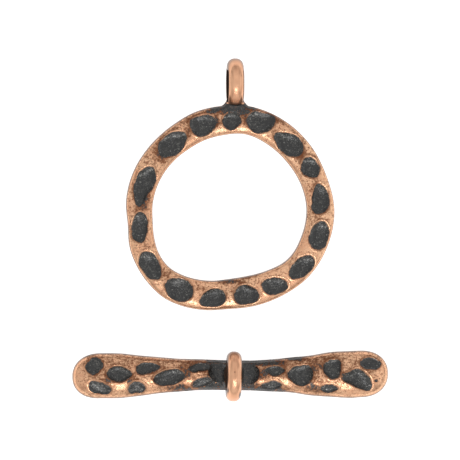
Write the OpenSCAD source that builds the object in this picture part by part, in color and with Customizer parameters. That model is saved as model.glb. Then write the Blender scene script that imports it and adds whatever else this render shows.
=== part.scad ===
// Toggle clasp in two cast pieces: a hammered ring and a hammered bar, each with its eye.
// Millimetres, +Z up. Both pieces lie on z = 0, the ring towards +Y and the bar towards -Y.

/* [Ring] */
// Outside width of the ring
ring_w = 23; // [18:0.5:30]
// Width of the ring's band, seen from above
band_w = 3.1; // [2.4:0.1:4]
// Thickness of the ring's band
band_t = 2.2; // [1.8:0.1:3]
// Depth of the ring's hammer marks
ring_mark_depth = 0.45; // [0.1:0.05:0.6]

/* [Ring eye] */
// Outside diameter of the ring's eye
ring_eye_d = 5.4; // [4.8:0.1:6.5]
// Width of the ring's eye along its hole
ring_eye_w = 1.8; // [1.5:0.05:2.4]
// Diameter of the hole in the ring's eye
ring_eye_hole = 2.4; // [1.8:0.1:2.8]
// How far the ring's eye sinks into the band
ring_eye_sink = 0.25; // [0.15:0.05:0.5]
// How far the ring's eye stands to the right of the ring's middle
ring_eye_shift = 0.36; // [0:0.02:1]
// Rounding of the outer corners of the ring's eye
ring_eye_round = 0.8; // [0.3:0.05:0.8]

/* [Bar] */
// Length of the bar
bar_len = 34.9; // [30:0.1:42]
// Width of the bar at its ends
lobe_w = 5.2; // [4.4:0.1:6.5]
// Width of the bar at its middle
neck_w = 3.3; // [2.8:0.1:4]
// Thickness of the bar at its ends
lobe_t = 3.2; // [3:0.1:3.8]
// Thickness of the bar at its middle
neck_t = 2.8; // [2.2:0.1:3]
// Depth of the bar's hammer marks
bar_mark_depth = 0.45; // [0.1:0.05:0.6]

/* [Bar eye] */
// Outside diameter of the bar's eye
bar_eye_d = 5.5; // [4.8:0.1:6.5]
// Width of the bar's eye along its hole
bar_eye_w = 1.6; // [1.4:0.05:2.4]
// Diameter of the hole in the bar's eye
bar_eye_hole = 2.4; // [1.8:0.1:2.8]
// How far the bar's eye sinks into the bar
bar_eye_sink = 0.4; // [0.25:0.05:0.6]
// How far the bar's eye stands to the right of the bar's middle
bar_eye_shift = 0.16; // [0:0.02:1]
// Turn of the bar's eye, clockwise from square across the bar
bar_eye_turn = 1.3; // [0:0.1:5]
// Rounding of the outer corners of the bar's eye
bar_eye_round = 0.7; // [0.3:0.05:0.7]

/* [Feet of the eyes] */
// Rise of the fillet where an eye leaves its piece
foot_rise = 0.5; // [0.2:0.05:0.7]
// Spread of that fillet beside the eye
foot_spread = 0.7; // [0.4:0.05:1.2]
// Rounding of the edges of an eye's hole
hole_round = 0.4; // [0.2:0.05:0.5]

/* [Laid out] */
// Gap between the ring and the bar's broad ends as they lie
rest_gap = 4.6; // [2:0.05:10]
// How far the ring lies to the right of the bar's middle
ring_shift = 0.1; // [0:0.02:2]

/* [Hidden] */
copper = [0.72, 0.47, 0.34];

// Roundness of the sections: 2 is an ellipse, more is squarer
band_square = 3.6;
bar_square = 2.3;
back_square = 4;
end_square = 2.2;

// Directions round a section: close together on the face, far apart on the back
face_step = 12;
back_step = 30;
section_turns = concat([for (a = [0:face_step:180]) a], [for (a = [180 + back_step:back_step:359]) a]);

// Stations round the ring, and along the bar between its rounded ends and in each of them
ring_stations = 180;
bar_stations = 100;
end_stations = 9;
// Length of the bar's rounded end, as a share of its width there
end_share = 0.58;

// Steps in a quarter turn of an eye's rounded corner
corner_steps = 5;
eye_facets = 64;
// Most of an eye's half width, and of its wall, that its rounded corners may take
round_share = 0.9;

// Outline of the ring: angle, outer radius as a share of half the ring's width,
// and width of the band as a share of the band's named width
OUTER = 1;
BAND = 2;
ring_outline = [
    [0, 0.990, 1.00],
    [20, 0.971, 0.97],
    [40, 0.983, 1.04],
    [60, 1.000, 1.05],
    [80, 1.013, 1.01],
    [97, 1.006, 1.04],
    [110, 1.007, 1.06],
    [125, 0.995, 1.03],
    [140, 0.999, 1.00],
    [160, 1.014, 0.99],
    [175, 1.016, 0.96],
    [188, 1.005, 0.90],
    [200, 1.040, 0.94],
    [210, 1.055, 0.92],
    [222, 1.063, 0.94],
    [232, 1.062, 1.04],
    [242, 1.037, 1.08],
    [255, 0.993, 1.08],
    [268, 0.951, 1.07],
    [282, 0.947, 1.10],
    [300, 0.956, 1.05],
    [320, 0.981, 0.97],
    [340, 0.988, 1.00],
];

// Outline of the bar: place along it as a share of its length, sideways drift as a share of
// the end width, and swell from 0 at the neck's size to 1 at the end's size
DRIFT = 1;
SWELL = 2;
bar_outline = [
    [-0.500, -0.02, 0.88],
    [-0.412, 0.00, 0.88],
    [-0.349, 0.00, 0.86],
    [-0.285, 0.00, 0.61],
    [-0.222, 0.01, 0.36],
    [-0.159, 0.01, 0.17],
    [-0.095, 0.02, 0.06],
    [-0.032, 0.01, 0.00],
    [0.063, 0.00, 0.00],
    [0.127, 0.00, 0.12],
    [0.190, 0.01, 0.30],
    [0.254, 0.00, 0.59],
    [0.317, 0.02, 0.87],
    [0.381, 0.01, 0.98],
    [0.412, 0.03, 0.98],
    [0.500, 0.04, 0.98],
];

// Hammer marks. Columns: place, offset across, depth, then the reach of the mark from its
// centre in eight directions. The first direction runs along the piece and the third outwards.
OFFSET = 1;
DEPTH = 2;
REACH = 3;
reaches = 8;
// Angle that no mark on the ring reaches past
widest_mark = 30;
// On the ring, place is an angle and the lengths are shares of the band's width
ring_marks = [
    [7.3, 0.01, 0.9, 0.59, 0.42, 0.32, 0.39, 0.51, 0.47, 0.30, 0.35],
    [28.6, 0.06, 0.9, 0.42, 0.38, 0.33, 0.35, 0.37, 0.31, 0.34, 0.35],
    [49.4, 0.01, 1.0, 0.65, 0.38, 0.37, 0.45, 0.56, 0.47, 0.41, 0.49],
    [72.2, 0.07, 1.0, 0.51, 0.46, 0.37, 0.51, 0.46, 0.39, 0.40, 0.46],
    [90.3, -0.03, 0.8, 0.35, 0.32, 0.30, 0.34, 0.34, 0.30, 0.33, 0.34],
    [108.4, 0.02, 0.9, 0.47, 0.47, 0.36, 0.41, 0.49, 0.39, 0.39, 0.46],
    [131.7, -0.01, 1.0, 0.60, 0.50, 0.40, 0.46, 0.62, 0.43, 0.39, 0.44],
    [162.8, -0.01, 1.0, 0.83, 0.45, 0.35, 0.45, 0.69, 0.48, 0.35, 0.36],
    [191.2, 0.04, 0.9, 0.47, 0.41, 0.30, 0.35, 0.61, 0.46, 0.28, 0.30],
    [214.6, 0.04, 0.9, 0.52, 0.40, 0.30, 0.43, 0.60, 0.49, 0.36, 0.38],
    [236.6, 0.01, 1.0, 0.50, 0.42, 0.40, 0.46, 0.57, 0.46, 0.45, 0.49],
    [258.3, 0.07, 0.9, 0.42, 0.34, 0.32, 0.49, 0.42, 0.34, 0.37, 0.45],
    [280.0, 0.07, 0.9, 0.44, 0.43, 0.34, 0.41, 0.45, 0.43, 0.37, 0.36],
    [299.6, 0.07, 0.8, 0.43, 0.46, 0.31, 0.31, 0.40, 0.47, 0.35, 0.33],
    [321.0, 0.05, 0.9, 0.53, 0.46, 0.30, 0.34, 0.52, 0.43, 0.33, 0.38],
    [344.5, 0.06, 0.9, 0.52, 0.42, 0.34, 0.46, 0.51, 0.42, 0.35, 0.41],
];
// On the bar, place is a share of its length from the middle, and the lengths are shares of
// the end width
bar_marks = [
    [-0.432, 0.21, 0.8, 0.19, 0.19, 0.18, 0.16, 0.19, 0.18, 0.18, 0.15],
    [-0.418, -0.25, 0.8, 0.27, 0.15, 0.14, 0.22, 0.21, 0.15, 0.12, 0.21],
    [-0.354, 0.05, 1.0, 0.29, 0.19, 0.17, 0.21, 0.27, 0.20, 0.18, 0.19],
    [-0.298, -0.24, 0.8, 0.20, 0.15, 0.13, 0.15, 0.18, 0.19, 0.12, 0.17],
    [-0.264, 0.17, 0.8, 0.26, 0.17, 0.13, 0.17, 0.24, 0.20, 0.12, 0.13],
    [-0.197, -0.03, 1.0, 0.34, 0.26, 0.17, 0.19, 0.32, 0.25, 0.17, 0.20],
    [-0.099, 0.18, 0.6, 0.22, 0.12, 0.10, 0.12, 0.21, 0.15, 0.08, 0.11],
    [-0.093, -0.14, 0.6, 0.21, 0.18, 0.11, 0.12, 0.19, 0.17, 0.09, 0.10],
    [-0.044, 0.08, 0.5, 0.19, 0.21, 0.19, 0.21, 0.18, 0.19, 0.20, 0.23],
    [0.061, 0.04, 0.5, 0.19, 0.20, 0.20, 0.22, 0.18, 0.23, 0.22, 0.19],
    [0.138, 0.11, 0.6, 0.22, 0.14, 0.10, 0.13, 0.22, 0.12, 0.12, 0.13],
    [0.130, -0.19, 0.6, 0.22, 0.12, 0.10, 0.10, 0.24, 0.13, 0.09, 0.12],
    [0.219, 0.01, 1.0, 0.27, 0.29, 0.22, 0.24, 0.27, 0.21, 0.23, 0.24],
    [0.319, 0.14, 0.9, 0.19, 0.24, 0.21, 0.20, 0.19, 0.18, 0.21, 0.21],
    [0.310, -0.27, 0.7, 0.20, 0.12, 0.09, 0.12, 0.20, 0.12, 0.09, 0.11],
    [0.403, -0.08, 1.0, 0.27, 0.21, 0.24, 0.26, 0.34, 0.18, 0.19, 0.34],
    [0.442, 0.26, 0.8, 0.23, 0.15, 0.14, 0.17, 0.23, 0.16, 0.12, 0.17],
];

// Point of a rounded section of half size 1, by its direction from the centre
function rounded(turn, square) =
    [sign(cos(turn)) * pow(abs(cos(turn)), 2 / square), sign(sin(turn)) * pow(abs(sin(turn)), 2 / square)];

// Slope of a column at row k, from its neighbours
function row_slope(rows, k, column) =
    let (
        before = rows[max(k - 1, 0)],
        after = rows[min(k + 1, len(rows) - 1)]
    )
    (after[column] - before[column]) / (after[0] - before[0]);

// Value of a column at x, on a smooth curve through the rows
function between_rows(rows, x, column) =
    let (
        k = len([for (i = [1:len(rows) - 2]) if (rows[i][0] <= x) i]),
        span = rows[k + 1][0] - rows[k][0],
        t = (x - rows[k][0]) / span
    )
    (1 + 2 * t) * pow(1 - t, 2) * rows[k][column]
    + t * pow(1 - t, 2) * span * row_slope(rows, k, column)
    + t * t * (3 - 2 * t) * rows[k + 1][column]
    + t * t * (t - 1) * span * row_slope(rows, k + 1, column);

// Reach of a mark in one direction, on a smooth closed curve through the inverse squares of its
// eight reaches, so that the reaches of an ellipse give that ellipse
function inverse_square(mark, k) = 1 / pow(mark[REACH + k % reaches], 2);
function mark_reach(mark, direction) =
    let (
        turn = (direction + 360) % 360 * reaches / 360,
        k = floor(turn),
        t = turn - k,
        a = inverse_square(mark, k + reaches - 1),
        b = inverse_square(mark, k),
        c = inverse_square(mark, k + 1),
        d = inverse_square(mark, k + 2)
    )
    1 / sqrt(
        b + (c - a) * t / 2 + (2 * a - 5 * b + 4 * c - d) * t * t / 2 + (3 * b - a - 3 * c + d) * t * t * t / 2
    );

// Depth of a mark's bowl, 1 at its centre and 0 from its edge on, at a place (along, across)
// from its centre, where unit is the named size that its reaches are shares of
function bowl(mark, along, across, unit) =
    let (far = norm([along, across]) / (unit * mark_reach(mark, atan2(across, along))))
    far < 1 ? mark[DEPTH] * (1 - far * far) : 0;

// Fillet beside an eye: full height at the eye's side, falling in a hollow curve
function foot(away, eye_w) =
    foot_rise * pow(1 - min(1, max(0, (away - eye_w / 2) / foot_spread)), 2);

// Triangles between neighbouring sections, from section 0 to the last one
function skin_faces(sections, around, closed) =
    [
        for (i = [0:sections - (closed ? 1 : 2)])
            for (j = [0:around - 1])
                let (
                    a = i * around + j,
                    b = i * around + (j + 1) % around,
                    c = (i + 1) % sections * around + (j + 1) % around,
                    d = (i + 1) % sections * around + j
                )
                each [[a, b, c], [a, c, d]]
    ];

// The ring's outline repeated past both ends, so that its curve closes smoothly
wrapped_outline = concat(
    [for (row = [ring_outline[len(ring_outline) - 1]]) [row[0] - 360, row[OUTER], row[BAND]]],
    ring_outline,
    [for (i = [0:1]) [ring_outline[i][0] + 360, ring_outline[i][OUTER], ring_outline[i][BAND]]]
);

function ring_outer(angle) = ring_w / 2 * between_rows(wrapped_outline, angle, OUTER);
function band_at(angle) = band_w * between_rows(wrapped_outline, angle, BAND);
function band_middle(angle) = ring_outer(angle) - band_at(angle) / 2;

// Angle, foot and centre of the ring's eye
ring_eye_angle = 90 - asin(ring_eye_shift / (ring_w / 2));
ring_eye_y = ring_outer(ring_eye_angle) * sin(ring_eye_angle) + ring_eye_d / 2 - ring_eye_sink;

// Deepest hammer mark at a place on the ring's face
function ring_marks_at(angle, radius) =
    ring_mark_depth * max([
        for (mark = ring_marks)
            let (turn = (angle - mark[0] + 540) % 360 - 180)
            abs(turn) > widest_mark ? 0 : bowl(
                mark,
                turn * PI / 180 * band_middle(mark[0]),
                radius - band_middle(mark[0]) - mark[OFFSET] * band_w,
                band_w
            )
    ]);

// Point of the band at an angle and a direction round its section
function band_point(angle, turn) =
    let (
        section = rounded(turn, band_square),
        beside_eye = abs(angle - ring_eye_angle) * PI / 180 * ring_w / 2,
        radius = band_middle(angle) + band_at(angle) / 2 * section.x
            + foot(beside_eye, ring_eye_w) * pow(max(0, section.x), 2),
        height = band_t / 2 * section.y
    )
    [
        radius * cos(angle),
        radius * sin(angle),
        height - (section.y > 0 ? ring_marks_at(angle, radius) : 0)
    ];

band_points = [
    for (i = [0:ring_stations - 1])
        for (turn = section_turns)
            band_point(i * 360 / ring_stations, turn)
];

// The ring leans on its eye: the pitch is corrected until the eye and the far rim both touch
// the floor
pitch_tries = 4;
ring_reach = -min([for (p = band_points) p.y]);
function band_low(pitch) = min([for (p = band_points) p.y * sin(pitch) + p.z * cos(pitch)]);
function settled(pitch, tries) =
    tries == 0 ? pitch : settled(
        asin((ring_eye_d / 2 + band_low(pitch) + ring_reach * sin(pitch)) / (ring_eye_y + ring_reach)),
        tries - 1
    );
ring_pitch = settled(0, pitch_tries);
ring_lift = -band_low(ring_pitch);

// Half the bar's width at x, and its thickness there, before the ends are rounded off
function swell_at(x) = max(0, min(1, between_rows(bar_outline, x / bar_len, SWELL)));
function bar_half_w(x) = (neck_w + (lobe_w - neck_w) * swell_at(x)) / 2;
function bar_thick(x) = neck_t + (lobe_t - neck_t) * swell_at(x);
end_len = end_share * lobe_w;

// Share of the full section left at x, which falls to nothing at the tips
function end_cap(x) =
    let (into = max(0, (abs(x) - bar_len / 2 + end_len) / end_len))
    pow(1 - pow(min(1, into), end_square), 1 / end_square);

// Deepest hammer mark at a place on the bar's face
function bar_marks_at(x, y) =
    bar_mark_depth * max([
        for (mark = bar_marks)
            let (along = x - mark[0] * bar_len)
            abs(along) > lobe_w / 2 ? 0 : bowl(mark, along, y - mark[OFFSET] * lobe_w, lobe_w)
    ]);

// Point of the bar at x and a direction round its section
function bar_point(x, turn) =
    let (
        section = rounded(turn, turn > 180 ? back_square : bar_square),
        y = lobe_w * between_rows(bar_outline, x / bar_len, DRIFT) - bar_half_w(x) * end_cap(x) * section.x,
        middle = bar_thick(x) / 2,
        height = middle * (1 + end_cap(x) * section.y),
        rise = foot(abs(x - bar_eye_shift), bar_eye_w) * max(0, section.y)
    )
    [x, y, height + rise - (section.y > 0 ? bar_marks_at(x, y) * end_cap(x) : 0)];

// Places of the bar's sections: closer together towards the tips
straight_half = bar_len / 2 - end_len;
left_end = [for (i = [1:end_stations]) -bar_len / 2 + end_len * (1 - cos(90 * i / (end_stations + 1)))];
right_end = [for (i = [len(left_end) - 1:-1:0]) -left_end[i]];
straight = [for (i = [0:bar_stations]) -straight_half + 2 * straight_half * i / bar_stations];
bar_places = concat(left_end, straight, right_end);
left_tip = [-bar_len / 2, lobe_w * bar_outline[0][DRIFT], bar_thick(-bar_len / 2) / 2];
right_tip = [bar_len / 2, lobe_w * bar_outline[len(bar_outline) - 1][DRIFT], bar_thick(bar_len / 2) / 2];
bar_points = concat(
    [for (x = bar_places) for (turn = section_turns) bar_point(x, turn)],
    [left_tip, right_tip]
);
bar_eye_z = neck_t + bar_eye_d / 2 - bar_eye_sink;

// Where the two pieces lie, so that the pair is centred on the origin
ring_top = ring_eye_y * cos(ring_pitch) + ring_eye_d / 2;
bar_bottom = max(bar_eye_d, lobe_w) / 2;
pair_len = ring_top + ring_reach + rest_gap + lobe_w / 2 + bar_bottom;
ring_y = pair_len / 2 - ring_top;
bar_y = bar_bottom - pair_len / 2;

// Corner of an eye's section: an arc about a centre, from one direction on by a quarter turn
function corner(centre, radius, from) =
    [for (i = [0:corner_steps]) centre + radius * [cos(from + 90 * i / corner_steps), sin(from + 90 * i / corner_steps)]];

// An eye about the origin with its hole along X, its four section corners rounded
module eye(outer_d, hole_d, w, outer_round) {
    wall = (outer_d - hole_d) / 2;
    inner = min(hole_round, w / 2 * round_share, wall / 3);
    outer = min(outer_round, w / 2 * round_share, (wall - inner) * round_share);
    rotate([0, 90, 0])
        rotate_extrude($fn = eye_facets)
            polygon(concat(
                corner([outer_d / 2 - outer, w / 2 - outer], outer, 0),
                corner([hole_d / 2 + inner, w / 2 - inner], inner, 90),
                corner([hole_d / 2 + inner, inner - w / 2], inner, 180),
                corner([outer_d / 2 - outer, outer - w / 2], outer, 270)
            ));
}

// Hammered band with its eye, leaning on the eye
module toggle_ring() {
    color(copper)
        translate([ring_shift, ring_y, ring_lift])
            rotate([ring_pitch, 0, 0])
                union() {
                    polyhedron(band_points, skin_faces(ring_stations, len(section_turns), true), convexity = 6);
                    translate([ring_eye_shift, ring_eye_y, 0])
                        eye(ring_eye_d, ring_eye_hole, ring_eye_w, ring_eye_round);
                }
}

// Hammered bar lying on its back, with its eye standing on the face
module toggle_bar() {
    around = len(section_turns);
    sections = len(bar_places);
    tips = [
        for (j = [0:around - 1])
            each [
                [sections * around, (j + 1) % around, j],
                [sections * around + 1, (sections - 1) * around + j, (sections - 1) * around + (j + 1) % around],
            ]
    ];
    color(copper)
        translate([0, bar_y, 0])
            union() {
                polyhedron(bar_points, concat(skin_faces(sections, around, false), tips), convexity = 6);
                translate([bar_eye_shift, 0, bar_eye_z])
                    rotate([0, 0, -bar_eye_turn])
                        eye(bar_eye_d, bar_eye_hole, bar_eye_w, bar_eye_round);
            }
}

toggle_ring();
toggle_bar();
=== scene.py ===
import math

import bmesh
import bpy
import numpy as np
from mathutils import Matrix, Vector


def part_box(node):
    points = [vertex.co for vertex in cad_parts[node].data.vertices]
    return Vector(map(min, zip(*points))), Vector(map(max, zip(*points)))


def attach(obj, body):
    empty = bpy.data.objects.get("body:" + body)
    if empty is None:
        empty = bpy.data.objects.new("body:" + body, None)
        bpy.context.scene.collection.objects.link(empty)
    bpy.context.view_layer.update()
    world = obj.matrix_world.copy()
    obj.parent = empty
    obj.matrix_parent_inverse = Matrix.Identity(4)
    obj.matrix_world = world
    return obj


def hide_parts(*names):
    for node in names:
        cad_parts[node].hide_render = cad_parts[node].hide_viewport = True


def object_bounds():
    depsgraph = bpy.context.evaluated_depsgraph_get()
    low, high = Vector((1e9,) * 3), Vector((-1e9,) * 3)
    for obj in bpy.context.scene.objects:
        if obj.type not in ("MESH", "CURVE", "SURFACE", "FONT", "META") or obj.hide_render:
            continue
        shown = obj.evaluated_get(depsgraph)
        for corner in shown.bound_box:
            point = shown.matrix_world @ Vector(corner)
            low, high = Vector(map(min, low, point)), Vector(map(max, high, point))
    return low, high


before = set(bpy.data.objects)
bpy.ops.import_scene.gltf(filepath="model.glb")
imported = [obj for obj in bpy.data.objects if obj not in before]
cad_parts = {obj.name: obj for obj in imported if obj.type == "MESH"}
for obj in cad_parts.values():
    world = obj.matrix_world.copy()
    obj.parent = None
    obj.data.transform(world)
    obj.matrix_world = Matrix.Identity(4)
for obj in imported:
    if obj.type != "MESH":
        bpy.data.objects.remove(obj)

mm = 0.001  # shapes are worked out in millimetres, and meshes are made in metres
cadBox = [list(corner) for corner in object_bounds()]

# Columns of the tables. Every row begins with its place along the piece. Marks and stains go on
# with their offset across it, marks then with their depth and their reach in eight directions,
# and stains with their reach along and across and their strength
placeColumn = 0
offsetColumn = 1
depthColumn = 2
reachColumn = 3
stainAlongColumn = 2
stainAcrossColumn = 3
strengthColumn = 4

# What the hammer and the mould leave on both pieces, in millimetres
handwork = {
    "rimRound": 0.11,  # softness of a mark's rim
    "bowlSquare": 3.4,  # shape of a mark's bowl: 2 is round, more has a flatter floor
    "lipHeight": 0.035,  # metal pushed up round a mark
    "lipAway": 0.10,  # its place outside the rim
    "lipReach": 0.12,
    "sideFade": 4,  # how fast the marks deepen from a section's side up to its face
    "wave": 2.6,  # length of the unevenness's waves
    "waveHeight": 0.008,
    "waves": 24,
    "seed": 11,
}

# What both eyes share, in millimetres
eyeSizes = {
    "holeRound": 0.4,  # rounding of the hole's edges
    "footRise": 0.5,  # height and reach of the casting's rise to the eye
    "footSpread": 0.7,
    "around": 168,  # points round an eye
    "section": 64,  # points round its section
    "cornerSteps": 40,  # points along each rounded corner, before the section is spaced evenly
    "outerSkin": 0.02,  # how far outside its circle a point still counts as the eye's
    "weld": 0.004,  # points nearer than this are made one
    "filletReach": 0.42,  # how far from the seam the fillet goes
    "filletPull": 0.5,  # how far a point moves at each pass, as a share of its way
    "filletPasses": 40,
}

# Where the finish changes with the surface: distances are in millimetres, and a lean is a part
# of the normal, from 0 to 1
surface = {
    "rimLimit": 2,  # distances to a rim are counted up to this
    "faceFade": 0.3,  # height over which a marked face begins
    "keyFacingFrom": 0.06,  # lean towards the bottom of the picture, where the key light is, at which painted highlights and sheen begin
    "keyFacingSpan": 0.34,
    "sidewaysFrom": 0.80,  # sideways lean of an eye's flat sides
    "sidewaysSpan": 0.15,
    "darkSideFade": 0.4,  # distance over which an eye's dark side ends
    "flatFrom": 0.8,  # upward lean above which nothing is steep
}


# Straight rise from 0 to 1 that begins at start and takes span
def ramp(value, start, span):
    return np.clip((value - start) / span, 0, 1)


# Curve through the rows: between two rows a cubic, with each row's slope taken from its neighbours
def betweenRows(rows, place, column):
    rows = np.array(rows, float)
    at = rows[:, placeColumn]
    value = rows[:, column]
    index = np.arange(len(rows))
    before = np.maximum(index - 1, 0)
    after = np.minimum(index + 1, len(rows) - 1)
    slope = (value[after] - value[before]) / (at[after] - at[before])
    k = np.clip(np.searchsorted(at, place, side="right") - 1, 0, len(rows) - 2)
    span = at[k + 1] - at[k]
    t = (place - at[k]) / span
    rising = (1 + 2 * t) * (1 - t) ** 2 * value[k] + t * (1 - t) ** 2 * span * slope[k]
    return rising + t * t * (3 - 2 * t) * value[k + 1] + t * t * (t - 1) * span * slope[k + 1]


# Rounded section: cosine and sine of the turn, each to the power 2 / square with its sign kept
def rounded(turn, square):
    power = 2 / square
    across = np.sign(np.cos(turn)) * np.abs(np.cos(turn)) ** power
    upwards = np.sign(np.sin(turn)) * np.abs(np.sin(turn)) ** power
    return across, upwards


# Turns that space a section's points evenly: the length along the section is summed over many
# more samples than points, and divided
def evenTurns(count, halfWidth, halfHeight, faceSquare, backSquare):
    samples = 40 * count
    turn = np.linspace(0, 2 * math.pi, samples + 1)
    square = np.where(turn > math.pi, backSquare, faceSquare)
    across, upwards = rounded(turn, square)
    step = np.hypot(np.diff(across * halfWidth), np.diff(upwards * halfHeight))
    run = np.concatenate([[0], np.cumsum(step)])
    return np.interp(np.arange(count) * run[-1] / count, run, turn)


# Reach of each mark in a direction: a closed smooth curve through the inverse squares of the
# mark's eight reaches, so that the reaches of an ellipse give that ellipse
def markReach(marks, direction):
    bend = marks[:, reachColumn:] ** -2
    count = bend.shape[1]
    turn = np.mod(direction, 2 * math.pi) * count / (2 * math.pi)
    k = np.floor(turn).astype(int)
    t = turn - k
    a, b, c, d = (np.take_along_axis(bend, (k + step) % count, axis=1) for step in (-1, 0, 1, 2))
    between = (
        b
        + (c - a) * t / 2
        + (2 * a - 5 * b + 4 * c - d) * t * t / 2
        + (3 * b - a - 3 * c + d) * t ** 3 / 2
    )
    return between ** -0.5


# Hammer marks at places given from each mark's centre: the deepest bowl, which is the mark's depth
# times 1 - far ** square, and the distance to the nearest rim, which is negative inside a mark
def hammered(marks, along, across, unit):
    marks = np.array(marks, float)
    reach = unit * markReach(marks, np.arctan2(across, along))
    far = np.hypot(along, across) / reach
    bowl = marks[:, depthColumn, None] * (1 - far ** handwork["bowlSquare"])
    return bowl.max(axis=0), ((far - 1) * reach).min(axis=0)


# Lip pushed up round each mark: a bell curve over the distance to the rim
def lip(rim):
    away = (rim - handwork["lipAway"]) / handwork["lipReach"]
    return handwork["lipHeight"] * np.exp(-away ** 2)


# Soft corner at a mark's rim: the mean of the value and of the long side of a right triangle,
# whose short sides are the value and the rounding
def roundedRim(value):
    return (value + np.hypot(value, handwork["rimRound"])) / 2


# Fillet beside an eye: full height at the eye's side, falling with the square of what is left
def foot(away, eyeWidth):
    left = 1 - ramp(away, eyeWidth / 2, eyeSizes["footSpread"])
    return eyeSizes["footRise"] * left ** 2


# Unevenness: a sum of sine waves of one length in scattered directions, about 1 high
def ripple(points, length, seed):
    scatter = np.random.default_rng(seed)
    directions = scatter.normal(size=(handwork["waves"], 3))
    directions /= np.linalg.norm(directions, axis=1, keepdims=True)
    phases = scatter.uniform(0, 2 * math.pi, handwork["waves"])
    waves = np.sin(points @ directions.T * 2 * math.pi / length + phases)
    return waves.sum(axis=-1) / math.sqrt(handwork["waves"] / 2)


# Height that handwork adds to a face. The waves, lowered by their own height, and the lips grow
# with the section's upward part, and the marks deepen faster than that. Share fades all of it
def worked(points, upwards, bowl, rim, markDepth, seed, share=1):
    wave = handwork["waveHeight"] * (ripple(points, handwork["wave"], seed) - 1)
    dip = roundedRim(markDepth * bowl) * share
    rise = share * np.clip(upwards, 0, 1) * (wave + lip(rim))
    return rise - np.clip(upwards * handwork["sideFade"], 0, 1) * dip


# Corners of a grid's quads, which closes on itself along its columns and, if asked, along its rows
def gridFaces(rows, columns, closed):
    row = np.arange(rows if closed else rows - 1)[:, None]
    column = np.arange(columns)[None, :]
    nextRow = (row + 1) % rows
    nextColumn = (column + 1) % columns
    corners = [
        row * columns + column,
        row * columns + nextColumn,
        nextRow * columns + nextColumn,
        nextRow * columns + column,
    ]
    return np.stack(corners, axis=-1).reshape(-1, 4)


# Volume inside a closed grid: a sixth of the sum of each corner crossed with the next two
def gridVolume(points, faces):
    a, b, c, d = (points[faces[:, k]] for k in range(4))
    return (np.cross(a, b) * c + np.cross(a, c) * d).sum() / 6


# A mesh object from points in millimetres and faces, turned so that its faces point outwards
def makePiece(name, points, quads, triangles=()):
    triangles = np.array(triangles, int).reshape(-1, 3)
    if gridVolume(points, quads) < 0:
        quads = quads[:, ::-1]
        triangles = triangles[:, ::-1]
    mesh = bpy.data.meshes.new(name)
    mesh.from_pydata((points * mm).tolist(), [], quads.tolist() + triangles.tolist())
    mesh.polygons.foreach_set("use_smooth", np.ones(len(mesh.polygons), bool))
    piece = bpy.data.objects.new(name, mesh)
    bpy.context.scene.collection.objects.link(piece)
    return piece


# Moves a piece's points to new places, in millimetres
def setPoints(piece, points):
    piece.data.vertices.foreach_set("co", (points * mm).ravel())
    piece.data.update()


# What a mesh keeps under a name for each of its items, as an array with a row for each
def readItems(items, name, width, kind=float):
    values = np.zeros(len(items) * width, kind)
    items.foreach_get(name, values)
    return values.reshape(-1, width)


# An eye's surface about its own centre: a rectangle with four rounded corners, carried round
# the X axis. The profile is sampled at even lengths
def eyePoints(eye):
    wall = (eye["outer"] - eye["hole"]) / 2
    halfWidth = eye["width"] / 2
    inner = min(eyeSizes["holeRound"], wall / 3)
    outer = min(eye["outerRound"], halfWidth, wall - inner)
    corners = [
        (eye["outer"] / 2 - outer, halfWidth - outer, outer, 0),
        (eye["hole"] / 2 + inner, halfWidth - inner, inner, 90),
        (eye["hole"] / 2 + inner, inner - halfWidth, inner, 180),
        (eye["outer"] / 2 - outer, outer - halfWidth, outer, 270),
    ]
    radius = []
    across = []
    for centreRadius, centreAcross, rounding, start in corners:
        arc = np.radians(np.linspace(start, start + 90, eyeSizes["cornerSteps"]))
        radius.append(centreRadius + rounding * np.cos(arc))
        across.append(centreAcross + rounding * np.sin(arc))
    radius = np.concatenate(radius + [radius[0][:1]])
    across = np.concatenate(across + [across[0][:1]])
    run = np.concatenate([[0], np.cumsum(np.hypot(np.diff(radius), np.diff(across)))])
    even = np.arange(eyeSizes["section"]) * run[-1] / eyeSizes["section"]
    radius = np.interp(even, run, radius)[None, :]
    across = np.interp(even, run, across)[None, :]
    circle = np.arange(eyeSizes["around"])[:, None] * 2 * math.pi / eyeSizes["around"]
    turn = math.radians(-eye["turn"])
    x = np.repeat(across, len(circle), axis=0)
    y = radius * np.cos(circle)
    points = [
        x * math.cos(turn) - y * math.sin(turn),
        x * math.sin(turn) + y * math.cos(turn),
        radius * np.sin(circle),
    ]
    return np.stack(points, axis=-1).reshape(-1, 3)


# Union of a piece and its eye, cleaned of doubled points. Both carry the same two passing
# materials, so that each face of the union still tells which body it came from
def unite(piece, eye):
    bodies = [bpy.data.materials.new(name) for name in ("fromPiece", "fromEye")]
    for part in (piece, eye):
        for body in bodies:
            part.data.materials.append(body)
    eye.data.polygons.foreach_set("material_index", np.ones(len(eye.data.polygons), int))
    union = piece.modifiers.new("union", "BOOLEAN")
    union.operation = "UNION"
    union.solver = "EXACT"
    union.object = eye
    shown = piece.evaluated_get(bpy.context.evaluated_depsgraph_get())
    joined = bpy.data.meshes.new_from_object(shown)
    piece.modifiers.clear()
    piece.data = joined
    bpy.data.objects.remove(eye)

    work = bmesh.new()
    work.from_mesh(joined)
    bmesh.ops.remove_doubles(work, verts=work.verts, dist=eyeSizes["weld"] * mm)
    bmesh.ops.triangulate(work, faces=[face for face in work.faces if len(face.verts) > 4])
    work.to_mesh(joined)
    work.free()
    return joined


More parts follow.
